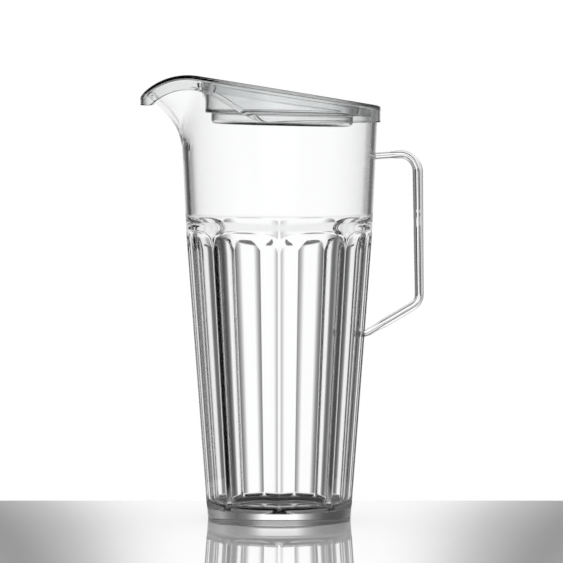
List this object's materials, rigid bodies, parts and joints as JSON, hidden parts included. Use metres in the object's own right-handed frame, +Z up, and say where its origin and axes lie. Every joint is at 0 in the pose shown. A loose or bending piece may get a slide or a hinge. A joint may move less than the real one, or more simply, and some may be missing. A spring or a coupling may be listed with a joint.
{
  "type": "beer pitcher",
  "caption": "Tall clear plastic pitcher with flat fluted sides, a bar handle, a pouring spout and a lift-off lid with a hood over the spout and a round well.",
  "frame": {"origin": "centre of the flat underside of the foot, on the jug's axis", "axes": "+Z up along the jug's axis, +X towards the handle, -X towards the spout, +Y to the right of someone looking from the handle to the spout"},
  "size_m": [0.1871, 0.134, 0.2934],
  "materials": {
    "clear_plastic": "polished, clear",
    "lid_plastic": "polished, clear with a faint blue tint"
  },
  "bodies": {
    "jug": {"jug_body": "clear_plastic", "handle": "clear_plastic"},
    "lid": {"lid": "lid_plastic"}
  },
  "joints": [
    {"name": "lid_lift", "type": "slide", "parent": "jug", "child": "lid", "axis": [0, 0, 1], "range_m": [0, 0.06]}
  ]
}
